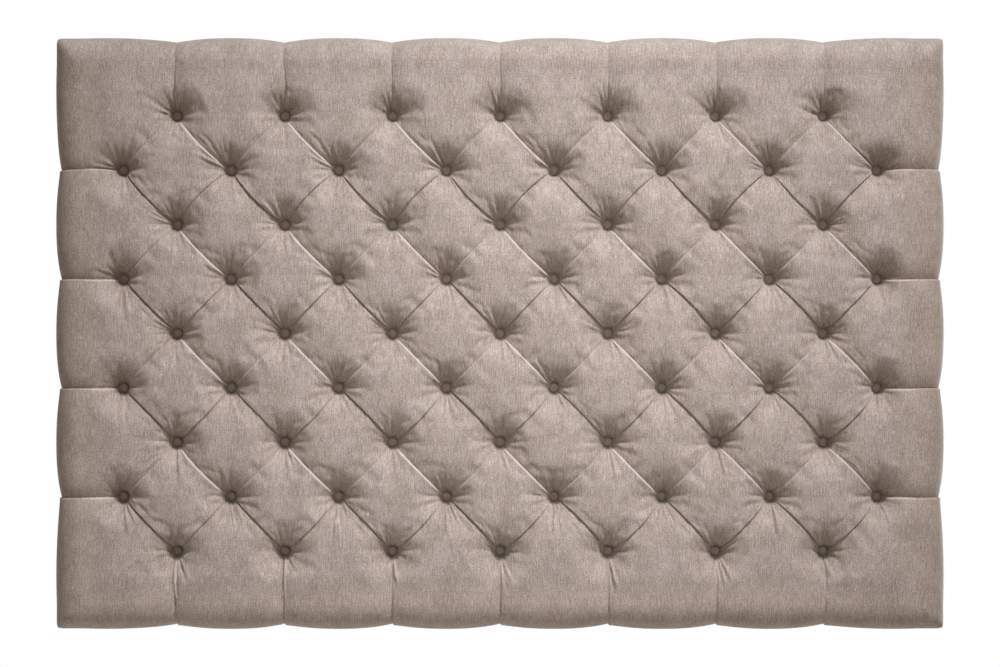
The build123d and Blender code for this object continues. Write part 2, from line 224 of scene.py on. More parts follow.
# Tufted cover. One piece of slubbed linen-like cloth is pulled over the foam, tied down at 67 buttons and
# tucked along straight pleats from button to button, then drawn round the four sides and stapled behind.
# Its surface is a height above the face board over the panel's width and height.
board_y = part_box("face_board")[0].y
crown, pleat_fall, seat_rise = 0.080, 0.0036, 0.026
row_pitch, column_pitch = 0.099, 0.098
inner_x, outer_x = 6 * column_pitch, 7 * column_pitch
row_count, first_row = 9, 0.396
second_row = first_row - row_pitch
roll_width, roll_fall = 0.042, 0.046
flat_top, flat_side = half_height - roll_width, half_width - roll_width
pleat_bow, edge_pleat_depth = 0.0012, 1.3
down_bows = (-0.005, -0.006, -0.0035, 0.002, 0.0, 0.004, 0.001, 0.004)
up_bows = (0.002, 0.005, 0.0, 0.0, -0.002, -0.007, -0.003, -0.006)
pillow_reach, pillow_power = 0.064, 2.1
pit_radius, pit_share, pit_wall, funnel_reach, funnel_power = 0.0078, 0.38, 0.0052, 0.052, 2.15
pit_right, pit_down = 0.0008, 0.0005
pleat_near, pit_near, fold_near = 0.07, 0.11, 0.08
crease_depth, crease_width, tied_reach = 0.0016, 0.0009, 0.030
edge_valley, valley_width = 0.0055, 0.013
step_height, face_widths, step_fade = 0.0020, {-1: 0.0038, 1: 0.0026}, (0.008, 0.05)
fold_start, fold_open, ridge_share = 0.008, 1.2, 0.85
billow_height, billow_inset = 0.004, 0.06
hold_share, held_funnel, rim_hold = 0.10, 0.93, 0.05
cloth_pressure, cloth_slack, cloth_cap, cloth_frames = 1.5, 0.015, 0.004, 20
return_width, hem_width, hem_gap = 0.030, 0.010, 0.0006
cloth_draw = np.random.default_rng(41)


def row_buttons(row):
    """Places along the panel of one row's buttons: seven, or eight half a pitch out."""
    count = 7 if row % 2 == 0 else 8
    return (np.arange(count) - (count - 1) / 2) * 2 * column_pitch


button_spots = [[(x, first_row - row * row_pitch) for x in row_buttons(row)] for row in range(row_count)]


def pleat_table():
    """Each pleat as its two ends, bow, the side its lip lies on, its depth share and its number of tied ends."""
    rows = []
    for row in range(row_count - 1):
        for x, z in button_spots[row]:
            for step in (-column_pitch, column_pitch):
                if abs(x + step) > outer_x + column_pitch / 2:
                    continue
                bow = (down_bows if step > 0 else up_bows)[row] + cloth_draw.normal(0, pleat_bow)
                lip = -1 if row % 2 == 0 else 1
                depth = cloth_draw.uniform(0.8, 1.2) * (1.1 if row % 2 else 1.4 if step > 0 else 0.6)
                rows.append((x, z, x + step, z - row_pitch, bow, lip, depth, 2))
    for row, end in ((0, flat_top), (row_count - 1, -flat_top)):
        for x, z in button_spots[row]:
            rows.append((x, z, x, end, cloth_draw.normal(0, pleat_bow), -1, 1.0, 1))
    for row in range(1, row_count, 2):
        for side in (-1, 1):
            x, z = side * outer_x, button_spots[row][0][1]
            rows.append((x, z, side * flat_side, z, cloth_draw.normal(0, pleat_bow), -1, edge_pleat_depth, 1))
    return np.array(rows)


def fold_table():
    """Small folds round each button: its place, the fold's angle, length, depth, width, ridge side and breadth.

    The cloth gathers most above and to the left of a button, hangs in one or two longer folds below it, and
    creases level on both sides. The lists give an angle in degrees, and a length, depth and width in millimetres.
    """
    level = [(5, 52, 3.4, 2.0), (176, 52, 3.4, 2.0)]
    above = [(109, 56, 3.6, 1.9), (98, 48, 3.4, 1.8), (86, 56, 3.8, 2.0), (73, 44, 3.0, 1.9), (60, 36, 2.4, 1.9),
             (27, 40, 2.6, 2.2)]
    left = [(121, 58, 3.4, 1.9), (150, 64, 3.4, 1.9), (163, 54, 3.0, 1.9)]
    below = [(-82, 78, 4.2, 2.0), (-94, 66, 3.4, 1.8), (-106, 46, 2.8, 1.8), (-66, 58, 3.2, 1.8),
             (-122, 34, 2.0, 1.8), (-160, 34, 1.8, 2.0), (-26, 30, 1.8, 2.0)]
    rows = []
    for row in range(row_count):
        for x, z in button_spots[row]:
            leftward = max(0.35, 1 - row / row_count) * (1.2 if x < 0 else 0.9)
            for group, share in ((level, 1), (above, 1), (left, leftward), (below, 0.65 + 0.09 * row)):
                for turn, length, depth, width in group:
                    spread, breadth = (4, 2.2) if group is level else (5, 1.0)
                    side = -np.sign(math.cos(math.radians(turn))) if group is level else cloth_draw.choice((-1, 1))
                    turn += 14 * (group is left and x < -(inner_x + outer_x) / 2)
                    least = 0.85 if group is level else 0.7 if group is above else 0.45
                    rows.append((x, z, math.radians(turn + cloth_draw.normal(0, spread)),
                                 0.001 * length * cloth_draw.uniform(0.75, 1.2) * min(share, 1) ** 0.5,
                                 0.001 * depth * cloth_draw.uniform(least, 1.25) * share,
                                 0.001 * width * cloth_draw.uniform(0.85, 1.25), side, breadth))
    return np.array(rows)


pleats, folds = pleat_table(), fold_table()
swells = cloth_draw.uniform(-1, 1, (24, 4))


def pleat_distance(x, z, pleat):
    """Signed distance to a bowed pleat and the share of the way along it.

    The pleat is a parabola over its chord: the bow times 4 w (1 - w) is taken off the height over the chord.
    """
    x0, z0, x1, z1, bow = pleat[:5]
    run_x, run_z = x1 - x0, z1 - z0
    length = math.hypot(run_x, run_z)
    along = ((x - x0) * run_x + (z - z0) * run_z) / length
    share = np.clip(along / length, 0, 1)
    sign = 1 if run_x > 0 or (run_x == 0 and run_z > 0) else -1
    across = sign * ((z - z0) * run_x - (x - x0) * run_z) / length - bow * 4 * share * (1 - share)
    past = np.maximum(np.abs(along / length - 0.5) - 0.5, 0) * length
    return across, np.hypot(across, past), share


def cover_height(x, z):
    """The cloth's height above the board without its tucks, the tucks' depth, how open a place is, and the funnel.

    The height is the crown less a rounded fall towards the nearest pleats, a valley along the edge pleats and a
    funnel at each button, with small folds that run out from the buttons and a slow billow. A tuck is a narrow
    groove along a pleat, and a step that is raised on the side of its lip and lowered on the other.
    """
    open_share = np.ones_like(x)
    funnel, crease, wrinkle, valley = np.zeros((4, *x.shape))
    for pleat in pleats:
        (low_x, low_z), (high_x, high_z) = np.minimum(pleat[:2], pleat[2:4]), np.maximum(pleat[:2], pleat[2:4])
        near = np.flatnonzero((x > low_x - pleat_near) & (x < high_x + pleat_near)
                              & (z > low_z - pleat_near) & (z < high_z + pleat_near))
        across, distance, share = pleat_distance(x[near], z[near], pleat)
        lip, depth, tied_ends = pleat[5:]
        open_share[near] *= 1 - np.clip(1 - distance / pillow_reach, 0, 1) ** pillow_power
        run = math.hypot(pleat[2] - pleat[0], pleat[3] - pleat[1])
        tied = np.exp(-(share * run / tied_reach) ** 2)
        if tied_ends > 1:
            tied = np.maximum(tied, np.exp(-((1 - share) * run / tied_reach) ** 2))
        over = across * lip > 0
        face = np.where(over, np.clip(distance / face_widths[int(lip)], 0, 1), 0)
        step = step_height * (2 * face * face * (3 - 2 * face) - 1) * np.exp(-distance / np.where(over, *step_fade))
        step *= np.clip(1 - distance / pillow_reach, 0, 1) ** 1.5 * (1 + 0.5 * tied * (lip < 0))
        groove = (0.7 + 0.4 * lip) * crease_depth * (1 + 0.8 * tied * (lip > 0))
        groove = groove * np.exp(-(distance / crease_width) ** 1.4)
        upright = tied_ends == 1 and pleat[0] == pleat[2] and pleat[3] > pleat[1]
        crease[near] += depth * (groove - step) * (1 - 0.75 * upright * share ** 2)
        if tied_ends == 1:
            valley[near] += edge_valley * np.exp(-(distance / valley_width) ** 1.3)
    for bx, bz in sum(button_spots, []):
        near = np.flatnonzero((np.abs(x - bx) < pit_near) & (np.abs(z - bz) < pit_near))
        past = np.maximum(np.hypot(x[near] - bx - pit_right, z[near] - bz + pit_down) - pit_radius, 0)
        draw = pit_share * np.exp(-(past / pit_wall) ** 1.4)
        draw += (1 - pit_share) * (1 - np.clip(past / funnel_reach, 0, 1)) ** funnel_power
        funnel[near] = np.maximum(funnel[near], draw)
    for bx, bz, turn, length, depth, width, side, breadth in folds:
        near = np.flatnonzero((np.abs(x - bx) < fold_near) & (np.abs(z - bz) < fold_near))
        along = (x[near] - bx) * math.cos(turn) + (z[near] - bz) * math.sin(turn)
        across = (z[near] - bz) * math.cos(turn) - (x[near] - bx) * math.sin(turn)
        across /= 0.6 + fold_open * np.clip(along / length, 0, 1)
        reach = np.clip((along - fold_start) / fold_start, 0, 1) * (1 - np.clip(along / length, 0, 1) ** 2.2)
        ridge = np.exp(-((across - side * (0.7 + breadth) * width) / (breadth * width)) ** 2)
        wrinkle[near] += depth * reach * (ridge_share * ridge - np.exp(-(np.abs(across) / width) ** 1.15))
    billow = sum(np.sin(11 * (1 + a) * x + 9 * b + 4 * c) * np.sin(9 * (1 + d) * z + 5 * a - 3 * b)
                 for a, b, c, d in swells) / len(swells)
    fall = pleat_fall * (1 - open_share)
    height = crown - fall - (crown - fall - seat_rise) * funnel + wrinkle
    inward = np.minimum(flat_side - np.abs(x), flat_top - np.abs(z))
    height += billow_height * billow * open_share * (1 - funnel) * np.clip(inward / billow_inset, 0, 1) ** 2
    return height - valley * (1 - funnel), crease * (1 - funnel ** 3), open_share, funnel


def tuck_painted_highlight(x, z):
    """How near a place is to the raised edge of a tuck, where a painted highlight pales the cloth: a bell beside each
    pleat.
    """
    painted_highlight, middle, half_edge = np.zeros_like(x), 0.55 * face_widths[-1], 0.42 * face_widths[-1]
    for pleat in pleats[pleats[:, 5] < 0]:
        across, distance, share = pleat_distance(x, z, pleat)
        lip, depth, tied_ends = pleat[5:]
        edge = np.exp(-((distance - middle) / half_edge) ** 2) * (across * lip > 0)
        if tied_ends > 1 and pleat[2] < pleat[0]:
            edge *= np.clip(1.7 * share - 0.4, 0, 1)
        painted_highlight = np.maximum(painted_highlight, edge * min(1, 0.7 * depth))
    return painted_highlight


def crowded(pitch=0.139):
    """Shares along a patch's side: half-millimetre steps at the pleats that widen to the middle."""
    steps, middle_steps = np.repeat((0.0005, 0.0009, 0.0015, 0.0022), (5, 5, 8, 6)), 16
    middle = (pitch - 2 * steps.sum()) / middle_steps
    steps = np.concatenate([steps, np.full(middle_steps, middle), steps[::-1]])
    shares = np.concatenate([[0], np.cumsum(steps)])
    return shares / shares[-1]


fine_shares = crowded()


def side_curve(start, end, shares):
    """Points from one corner of a patch to the next, on the pleat's parabola where a pleat runs there."""
    start, end = np.array(start), np.array(end)
    if abs(start[0]) > abs(end[0]) and abs(end[1]) > abs(start[1]) and abs(start[0]) == flat_side:
        corner = np.array([start[0], end[1]])
        rise, run = np.clip(shares * 2, 0, 1)[:, None], np.clip(shares * 2 - 1, 0, 1)[:, None]
        return start + rise * (corner - start) + run * (end - corner)
    points = start + shares[:, None] * (end - start)
    for pleat in pleats:
        ends = pleat[:4].reshape(2, 2)
        if any(np.allclose(pair, (start, end), atol=1e-6) for pair in (ends, ends[::-1])):
            run = ends[1] - ends[0]
            sign = 1 if run[0] > 0 or (run[0] == 0 and run[1] > 0) else -1
            normal = sign * np.array([-run[1], run[0]]) / np.hypot(*run)
            points = points + normal * (pleat[4] * 4 * shares * (1 - shares))[:, None]
    return points


def patch_points(corners, shares):
    """A grid on four corners, in turn: the sides' curves blended across both ways, less the corners."""
    a, b, c, d = corners
    low, high = side_curve(a, b, shares), side_curve(d, c, shares)
    left, right = side_curve(a, d, shares), side_curve(b, c, shares)
    s, t = shares[:, None, None], shares[None, :, None]
    a, b, c, d = (np.array(corner) for corner in corners)
    plain = (1 - s) * (1 - t) * a + s * (1 - t) * b + s * t * c + (1 - s) * t * d
    return (1 - t) * low[:, None] + t * high[:, None] + (1 - s) * left[None] + s * right[None] - plain


def patch_corners():
    """The four corners of every patch, going round to the left, for diamonds and for the split edge cells."""
    found = []
    for row in range(1, row_count - 1):
        z = first_row - row * row_pitch
        spots = row_buttons(row)
        for x0, x1 in zip(spots[:-1], spots[1:]):
            middle = (x0 + x1) / 2
            found.append([(x0, z), (middle, z - row_pitch), (x1, z), (middle, z + row_pitch)])
    for flip in (1, -1):
        spots, z0, z1, top = row_buttons(0), flip * first_row, flip * second_row, flip * flat_top
        for x0, x1 in zip(spots[:-1], spots[1:]):
            middle = (x0 + x1) / 2
            found.append([(x0, z0), (middle, z1), (middle, top), (x0, top)])
            found.append([(middle, z1), (x1, z0), (x1, top), (middle, top)])
        outer, inner, edge = flip * outer_x, flip * inner_x, flip * flat_side
        for row in range(1, row_count - 2, 2):
            high, low = first_row - row * row_pitch, first_row - (row + 2) * row_pitch
            middle = (high + low) / 2
            found.append([(outer, high), (edge, high), (edge, middle), (inner, middle)])
            found.append([(inner, middle), (edge, middle), (edge, low), (outer, low)])
        for side in (1, -1):
            inner = side * inner_x
            found.append([(side * outer_x, z1), (inner, z0), (inner, top), (side * flat_side, z1)])
    return found


def grid_faces(index):
    """Quads of a grid of vertex numbers, each going round the same way."""
    return np.stack([index[:-1, :-1], index[1:, :-1], index[1:, 1:], index[:-1, 1:]], -1).reshape(-1, 4)


corner_columns = 16


def rim_columns(shares):
    """The rim, once round to the right: its places on the flat part and its outward turns.

    Each stretch between two places where pleats or patches meet has the patches' own shares. At each corner
    the place stands still and the outward turn sweeps a quarter.
    """
    across = np.concatenate([[-flat_side], np.arange(-6, 7) * column_pitch, [flat_side]])
    down = np.concatenate([[flat_top], first_row - np.arange(1, row_count - 1) * row_pitch, [-flat_top]])
    sweep = np.radians(90) * (np.arange(1, corner_columns) / corner_columns)
    places, turns = [], []
    for side, stops in enumerate((across, down, -across, -down)):
        half = len(shares) // 2
        to_corner, from_corner = shares[:half + 1] * 2, shares[half:] * 2 - 1
        inner_runs = [a + shares[:-1] * (b - a) for a, b in zip(stops[1:-2], stops[2:-1])]
        runs = [stops[0] + from_corner[:-1] * (stops[1] - stops[0]), *inner_runs,
                stops[-2] + to_corner[:-1] * (stops[-1] - stops[-2])]
        walk = np.concatenate([*runs, [stops[-1]]])
        still = np.full(len(walk), (flat_top, flat_side, -flat_top, -flat_side)[side])
        turn = np.radians(90 - 90 * side)
        places.append(np.stack([walk, still] if side % 2 == 0 else [still, walk], -1))
        turns.append(np.full(len(walk), turn))
        places.append(np.repeat(places[-1][-1:], corner_columns - 1, 0))
        turns.append(turn - sweep)
    return np.concatenate(places), np.concatenate(turns)


def corner_reach(turn, power):
    """How far a corner reaches in a direction, as a share of the roll: a circle at power 2, a square far above."""
    return (np.abs(np.cos(turn)) ** power + np.abs(np.sin(turn)) ** power) ** (-1 / power)


def front_net(shares):
    """The flat front as one net: points, each patch's numbers, quads, and the rim's numbers, places and turns.

    Points of neighbours that lie within a hundredth of a millimetre are made one.
    """
    grids = [patch_points(corners, shares) for corners in patch_corners()]
    rim_places, rim_turns = rim_columns(shares)
    loose = np.concatenate([grid.reshape(-1, 2) for grid in grids] + [rim_places])
    keys = np.round(loose * 1e5 + 0.31).astype(np.int64)
    _, first, number = np.unique(keys, axis=0, return_index=True, return_inverse=True)
    number = number.ravel()
    side, middle, quads = len(shares), len(shares) // 2, []
    patches = number[:len(grids) * side * side].reshape(len(grids), side, side)
    for index, grid in zip(patches, grids):
        s, t = grid[middle + 1, middle] - grid[middle, middle], grid[middle, middle + 1] - grid[middle, middle]
        quads.append(grid_faces(index if s[0] * t[1] > s[1] * t[0] else index.T))
    return loose[first], patches, np.concatenate(quads), number[patches.size:], rim_places, rim_turns


def on_front(places, level):
    """Points of the room from places on the panel and their level, or levels, above the face board."""
    return np.stack([places[..., 0], board_y - level + 0 * places[..., 0], panel_z + places[..., 1]], -1)


def rim_net(front_count, rim_number, rim_rows):
    """Quads and corner triangles that join the front's rim to the rows of points drawn round outside it."""
    columns = len(rim_number)
    index = np.concatenate([rim_number[None], front_count + np.arange(rim_rows * columns).reshape(-1, columns)])
    quads = grid_faces(np.concatenate([index, index[:, :1]], 1).T)
    folded = quads[:, 0] == quads[:, 1]
    return quads[~folded], quads[folded][:, [0, 2, 3]]


def surface(name, points, quads, flat=None, threes=None):
    """A smooth mesh at the origin from points, quads and triangles; its cloth laid flat is a UV map in metres."""
    threes = np.zeros((0, 3), int) if threes is None else threes
    corners = np.concatenate([quads.ravel(), threes.ravel()]).astype(np.int32)
    starts = np.concatenate([np.arange(len(quads)) * 4, quads.size + np.arange(len(threes)) * 3]).astype(np.int32)
    mesh = bpy.data.meshes.new(name)
    mesh.vertices.add(len(points))
    mesh.vertices.foreach_set("co", points.astype(np.float32).ravel())
    mesh.loops.add(len(corners))
    mesh.loops.foreach_set("vertex_index", corners)
    mesh.polygons.add(len(starts))
    mesh.polygons.foreach_set("loop_start", starts)
    mesh.polygons.foreach_set("use_smooth", np.ones(len(starts), dtype=bool))
    if flat is not None:
        mesh.uv_layers.new(name="cloth").data.foreach_set("uv", flat[corners].astype(np.float32).ravel())
    mesh.update(calc_edges=True)
    return placed(name, mesh)


def settled(shares):
    """How far loose cloth moves off the drawn shape when it is blown up a little, held at pleats, buttons and rim.

    A coarse net of the front is given slack and a light pressure and stepped as cloth; no point moves further
    than the cap, and the movement is returned patch by patch.
    """
    flat, patches, quads, rim_number, _, _ = front_net(shares)
    level, _, open_share, funnel = cover_height(*flat.T)
    start = on_front(flat, level)
    net = surface("settling_cloth", start, quads)
    held = net.vertex_groups.new(name="held")
    firm = np.clip(1 - open_share / hold_share, 0, 1) ** 0.5
    firm[funnel > held_funnel] = 1
    firm[rim_number] = 1
    firm = np.round(firm, 1)
    for weight in np.unique(firm[firm > 0]):
        held.add(np.flatnonzero(firm == weight).tolist(), float(weight), "REPLACE")
    cloth = net.modifiers.new("cloth", "CLOTH")
    ways = cloth.settings
    ways.quality, ways.mass, ways.air_damping = 6, 0.25, 2.0
    ways.tension_stiffness = ways.compression_stiffness = 12
    ways.shear_stiffness, ways.bending_stiffness = 4, 0.15
    ways.use_pressure, ways.uniform_pressure_force = True, cloth_pressure
    ways.shrink_min, ways.shrink_max = -cloth_slack, -cloth_slack
    ways.vertex_group_mass, ways.pin_stiffness = "held", 8
    ways.effector_weights.gravity = 0
    cloth.collision_settings.use_collision = False
    cloth.point_cache.frame_start, cloth.point_cache.frame_end = 1, cloth_frames
    for frame_number in range(1, cloth_frames + 1):
        bpy.context.scene.frame_set(frame_number)
    moved = net.evaluated_get(bpy.context.evaluated_depsgraph_get()).data
    end = np.empty(len(start) * 3, np.float32)
    moved.vertices.foreach_get("co", end)
    move = end.reshape(-1, 3) - start
    reach = np.linalg.norm(move, axis=1, keepdims=True)
    inward = np.minimum(flat_side - np.abs(flat[:, :1]), flat_top - np.abs(flat[:, 1:]))
    move *= np.minimum(1, cloth_cap / np.maximum(reach, 1e-9)) * np.clip(inward / rim_hold, 0, 1) ** 2
    bpy.context.scene.frame_set(1)
    bpy.data.objects.remove(net)
    return move[patches]


def spread_over(grid, coarse, fine):
    """A patch's movement at coarse shares, worked out at fine ones on a cubic between neighbours both ways."""
    place = np.searchsorted(coarse, fine, side="right").clip(1, len(coarse) - 1)
    gap = (coarse[place] - coarse[place - 1])[:, None, None]
    part = (fine - coarse[place - 1])[:, None, None] / gap

    def along(values):
        slope = np.gradient(values, coarse, axis=0)
        ends = values[place - 1] + part * part * (3 - 2 * part) * (values[place] - values[place - 1])
        return ends + gap * part * (1 - part) * ((1 - part) * slope[place - 1] - part * slope[place])

    return along(along(grid).swapaxes(0, 1)).swapaxes(0, 1)


flat_points, fine_patches, front_quads, rim_number, rim_places, rim_turns = front_net(fine_shares)
height, crease, _, funnel = cover_height(*flat_points.T)
drawn = on_front(flat_points, height - crease)
front = drawn.copy()
cloth_shares = fine_shares[[0, 5, 10, 14, 18, 21, 24, 27, 30, 32, 34, 37, 40, 43, 46, 50, 54, 59, 64]]
for patch, move in zip(fine_patches, settled(cloth_shares)):
    front[patch] = drawn[patch] + spread_over(move, cloth_shares, fine_shares)
rim_height, rim_crease = height[rim_number], crease[rim_number]
wall_top = crown - roll_fall
return_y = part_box("cover")[1].y
wall_foot = board_y - return_y
quarter_arc = 0.79
roll_arc = (roll_width + crown - wall_top) * quarter_arc
rim_normal = np.stack([np.cos(rim_turns), np.sin(rim_turns)], -1)
level_rim = np.abs(rim_normal[:, 1]) > 0.7
rim_walk = np.where(level_rim, rim_places[:, 0], rim_places[:, 1] - second_row)
bulge = 1 - np.abs(((rim_walk / np.where(level_rim, column_pitch, row_pitch)) % 2) - 1) ** 2.2
past = np.where(level_rim, np.abs(rim_places[:, 0]) - inner_x, np.abs(rim_places[:, 1]) - second_row)
span = np.where(level_rim, flat_side - inner_x, flat_top - second_row)
corner_bulge = np.sin(np.radians(120) * np.clip(past / span, 0, 1)) ** 0.8
swell = edge_swell * np.where(past > 0, corner_bulge, bulge)
roll_rows, soft_corner, square_corner = 16, 4, 20
rows = []
for turn in np.radians(90) * (np.arange(1, roll_rows + 1) / roll_rows) ** 0.9:
    share = turn / np.radians(90)
    cut = rim_crease * (1 - 0.3 * share)
    reach = corner_reach(rim_turns, soft_corner + (square_corner - soft_corner) * share ** 2)
    out = (roll_width + swell) * math.sin(turn) * reach - cut * math.sin(turn)
    rows.append((out, wall_top + (rim_height - wall_top) * math.cos(turn) - cut * math.cos(turn), roll_arc * share))
for share in (0.06, 0.14, 0.24, 0.35, 0.47, 0.6, 0.72, 0.83, 0.92, 0.97):
    fade = (1 - share) ** 1.3
    out = (roll_width + swell * fade) * corner_reach(rim_turns, square_corner) - 0.7 * rim_crease * fade
    level = wall_top + (wall_foot - wall_top) * share
    rows.append((out, level, roll_arc + wall_top - level))
for inset, level in ((0.0008, wall_foot + 0.0008), (0.003, wall_foot), (0.010, wall_foot), (0.020, wall_foot),
                     (return_width, wall_foot), (return_width, wall_foot + hem_gap),
                     (return_width - hem_width, wall_foot + hem_gap)):
    out = (roll_width - inset) * corner_reach(rim_turns, square_corner)
    rows.append((out, level, roll_arc + wall_top - wall_foot + inset))

rim = [on_front(rim_places + rim_normal * out[:, None], level) for out, level, _ in rows]
rim_quads, corner_threes = rim_net(len(front), rim_number, len(rim))
quads = np.concatenate([front_quads, rim_quads])
cloth_points = np.concatenate([front, *rim])
cloth_flat = np.concatenate([flat_points] + [rim_places + rim_normal * arc for _, _, arc in rows])


def fill_ends(thing):
    """Every open edge closed by a face, and the faces turned to point outwards."""
    work = bmesh.new()
    work.from_mesh(thing.data)
    bmesh.ops.holes_fill(work, edges=[edge for edge in work.edges if edge.is_boundary], sides=0)
    bmesh.ops.recalc_face_normals(work, faces=work.faces)
    work.to_mesh(thing.data)
    work.free()


def slub_group():
    """Slubbed weave over a cloth's unrolled metres: upright slub streaks, cross threads, speckle and mottling.

    The shade mark is how far a place lies in a pit, in a groove or on an edge, where painted shade darkens and
    browns the colour, and the highlight mark is how far a painted highlight pales the colour towards the thread.
    """
    takes = {"Cloth": "Vector", "Ground": "Color", "Thread": "Color", "Shade": "Color", "Painted_shade": "Float",
             "Painted_highlight": "Float"}
    tree, start, end = effect("slub_weave", takes, {"Color": "Color", "Height": "Float"})

    def noise(scale, detail, roughness=0.5):
        place = shader(tree, "Mapping", {"Vector": start["Cloth"], "Scale": scale})["Vector"]
        takes = {"Vector": place, "Scale": 1.0, "Detail": detail, "Roughness": roughness}
        return shader(tree, "TexNoise", takes)["Fac"]

    def spread(value, low, high, most=1.0):
        return shader(tree, "MapRange", {"Value": value, "From Min": low, "From Max": high, "To Max": most})["Result"]

    def reckoned(kind, first, *others):
        for other in others:
            first = shader(tree, "Math", {0: first, 1: other}, operation=kind)[0]
        return first

    slubs, fine_slubs, cross = noise((620, 75, 1), 2.0), noise((1300, 210, 1), 1.0), noise((160, 1100, 1), 1.0)
    mottle, grain = noise((26, 18, 1), 4.0, 0.6), noise((720, 340, 1), 2.5, 0.65)
    threads, tint, speckle = noise((560, 30, 1), 1.0), noise((110, 75, 1), 2.0, 0.6), noise((900, 900, 1), 2.0)
    bright = reckoned("MULTIPLY", spread(slubs, 0.50, 0.72, 0.55), spread(speckle, 0.3, 0.65))
    darker = ((fine_slubs, 0.48, 0.30, 0.55), (cross, 0.48, 0.30, 0.30), (mottle, 0.60, 0.36, 0.30),
              (grain, 0.54, 0.38, 0.62), (threads, 0.55, 0.35, 0.30))
    dark = reckoned("ADD", *(reckoned("MULTIPLY", spread(value, low, high), share)
                             for value, low, high, share in darker))
    toned = mixed(tree, reckoned("MINIMUM", dark, 1.0), start["Ground"], start["Shade"])
    tones = mixed(tree, spread(tint, 0.38, 0.62), (1.015, 0.9925, 1.005, 1), (0.975, 1.005, 0.985, 1))
    woven = mixed(tree, 1.0, mixed(tree, bright, toned, start["Thread"]), tones, "MULTIPLY")
    # Painted shade: the colour is darkened and browned where the shade mark is high.
    shade_painted = mixed(tree, start["Painted_shade"], woven, (0.90, 0.84, 0.74, 1), "MULTIPLY")
    # Painted highlight: the colour is paled towards the thread colour where the highlight mark is high.
    painted_pale = reckoned("MULTIPLY", start["Painted_highlight"], 0.36)
    reliefs = ((slubs, 0.5), (fine_slubs, 0.4), (cross, 0.4), (grain, 1.4), (threads, 0.8))
    relief = reckoned("ADD", *(reckoned("MULTIPLY", value, share) for value, share in reliefs))
    feed(tree, end, {"Color": mixed(tree, painted_pale, shade_painted, start["Thread"]), "Height": relief})
    return tree


slub_weave = slub_group()


def upholstery_cloth(name, ground, thread, shade, sheen, rise):
    """Matt woven cloth with a soft sheen, patterned along the unrolled cloth."""
    material, tree, body = blank(name)
    takes = {"Cloth": shader(tree, "UVMap", uv_map="cloth")["UV"],
             "Ground": (*ground, 1), "Thread": (*thread, 1), "Shade": (*shade, 1)}
    # The two marks on the mesh bring painted shade and a painted highlight into the cloth's colour.
    for mark in ("Painted_shade", "Painted_highlight"):
        takes[mark] = shader(tree, "Attribute", attribute_name=mark.lower())["Fac"]
    weave = shader(tree, "Group", takes, node_tree=slub_weave)
    feed(tree, body, {"Base Color": weave["Color"], "Normal": raised(tree, weave["Height"], 0.6, rise),
                      "Roughness": 0.82, "Sheen Weight": sheen, "Sheen Roughness": 0.45, "Specular IOR Level": 0.3})
    return material


cover = surface("tufted_cover", cloth_points, quads, cloth_flat, corner_threes)
# Painted shade: a mark that darkens and browns the cloth in the button funnels and the creases, near the side and
# bottom edges, and round the rim, least where the rim faces up.
edge_shade_reach, edge_shade_share, highlight_inset = 0.06, 0.45, 0.02
inward = np.minimum(flat_side - np.abs(flat_points[:, 0]), flat_top + flat_points[:, 1])
painted_edge_shade = edge_shade_share * np.clip(1 - inward / edge_shade_reach, 0, 1) ** 1.5
painted_rim_shade = 1 - 0.9 * np.clip(rim_normal[:, 1], 0, 1)
painted_shade = np.concatenate([np.clip(0.8 * funnel ** 0.8 + painted_edge_shade + 100 * np.maximum(crease, 0), 0, 1),
                         *(painted_rim_shade * min(1, edge_shade_share + arc / 0.15) for _, _, arc in rows)])
# Painted highlight: a mark that pales the raised face beside the tucks, faded out near the side and bottom edges.
painted_highlight = np.zeros(len(painted_shade))
painted_highlight[:len(front)] = tuck_painted_highlight(*flat_points.T) * np.clip(inward / highlight_inset, 0, 1)
for mark, values in (("painted_shade", painted_shade), ("painted_highlight", painted_highlight)):
    cover.data.attributes.new(mark, "FLOAT", "POINT").data.foreach_set("value", values.astype(np.float32))
taupe_ground, taupe_thread, taupe_shade = (0.400, 0.327, 0.285), (0.66, 0.58, 0.54), (0.20, 0.152, 0.120)
cover.data.materials.append(upholstery_cloth("taupe_cloth", taupe_ground, taupe_thread, taupe_shade, 0.45, 0.0006))
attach(cover, "panel")
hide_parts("cover")

# Covered buttons. Each is a domed metal shell wrapped in the cover's own cloth, its edge gathered under, and
# pulled down into the padding by twine. One piece holds a row, and each button sits a little out of true.
button_radius, button_rise, button_sink, button_stretch = 0.0084, 0.0064, 0.0003, 1.3
button_rings, button_spokes, button_set = 14, 32, np.random.default_rng(7)


def button_shape(x, z, seat):
    """Points of one button and its cloth laid flat, ring by ring from the dome's middle to the neck.

    A profile turned about the button's axis: radius and rise are the sine and cosine of one bend, with shallow
    gathers low on the rim, then the whole is leant a little.
    """
    share = np.linspace(0.06, 1, button_rings)[:, None]
    turn = 2 * np.pi * np.arange(button_spokes)[None] / button_spokes
    bend = np.radians(125) * share
    gathers = 1 + 0.03 * np.sin(button_set.integers(9, 13) * turn + button_set.uniform(0, 6)) * share ** 6
    radius = button_radius * np.sin(bend) ** 0.9 * gathers
    rise = button_rise * (0.42 + 0.58 * np.cos(bend))
    lean_x, lean_z = button_set.normal(0, 0.07, 2)
    spoke = np.stack([np.cos(turn), np.sin(turn)], -1)
    place = radius[..., None] * spoke
    flat = (x, z) + (button_stretch * button_radius * share)[..., None] * spoke
    return on_front((x, z) + place, seat + rise + place @ (lean_x, lean_z)).reshape(-1, 3), flat.reshape(-1, 2)


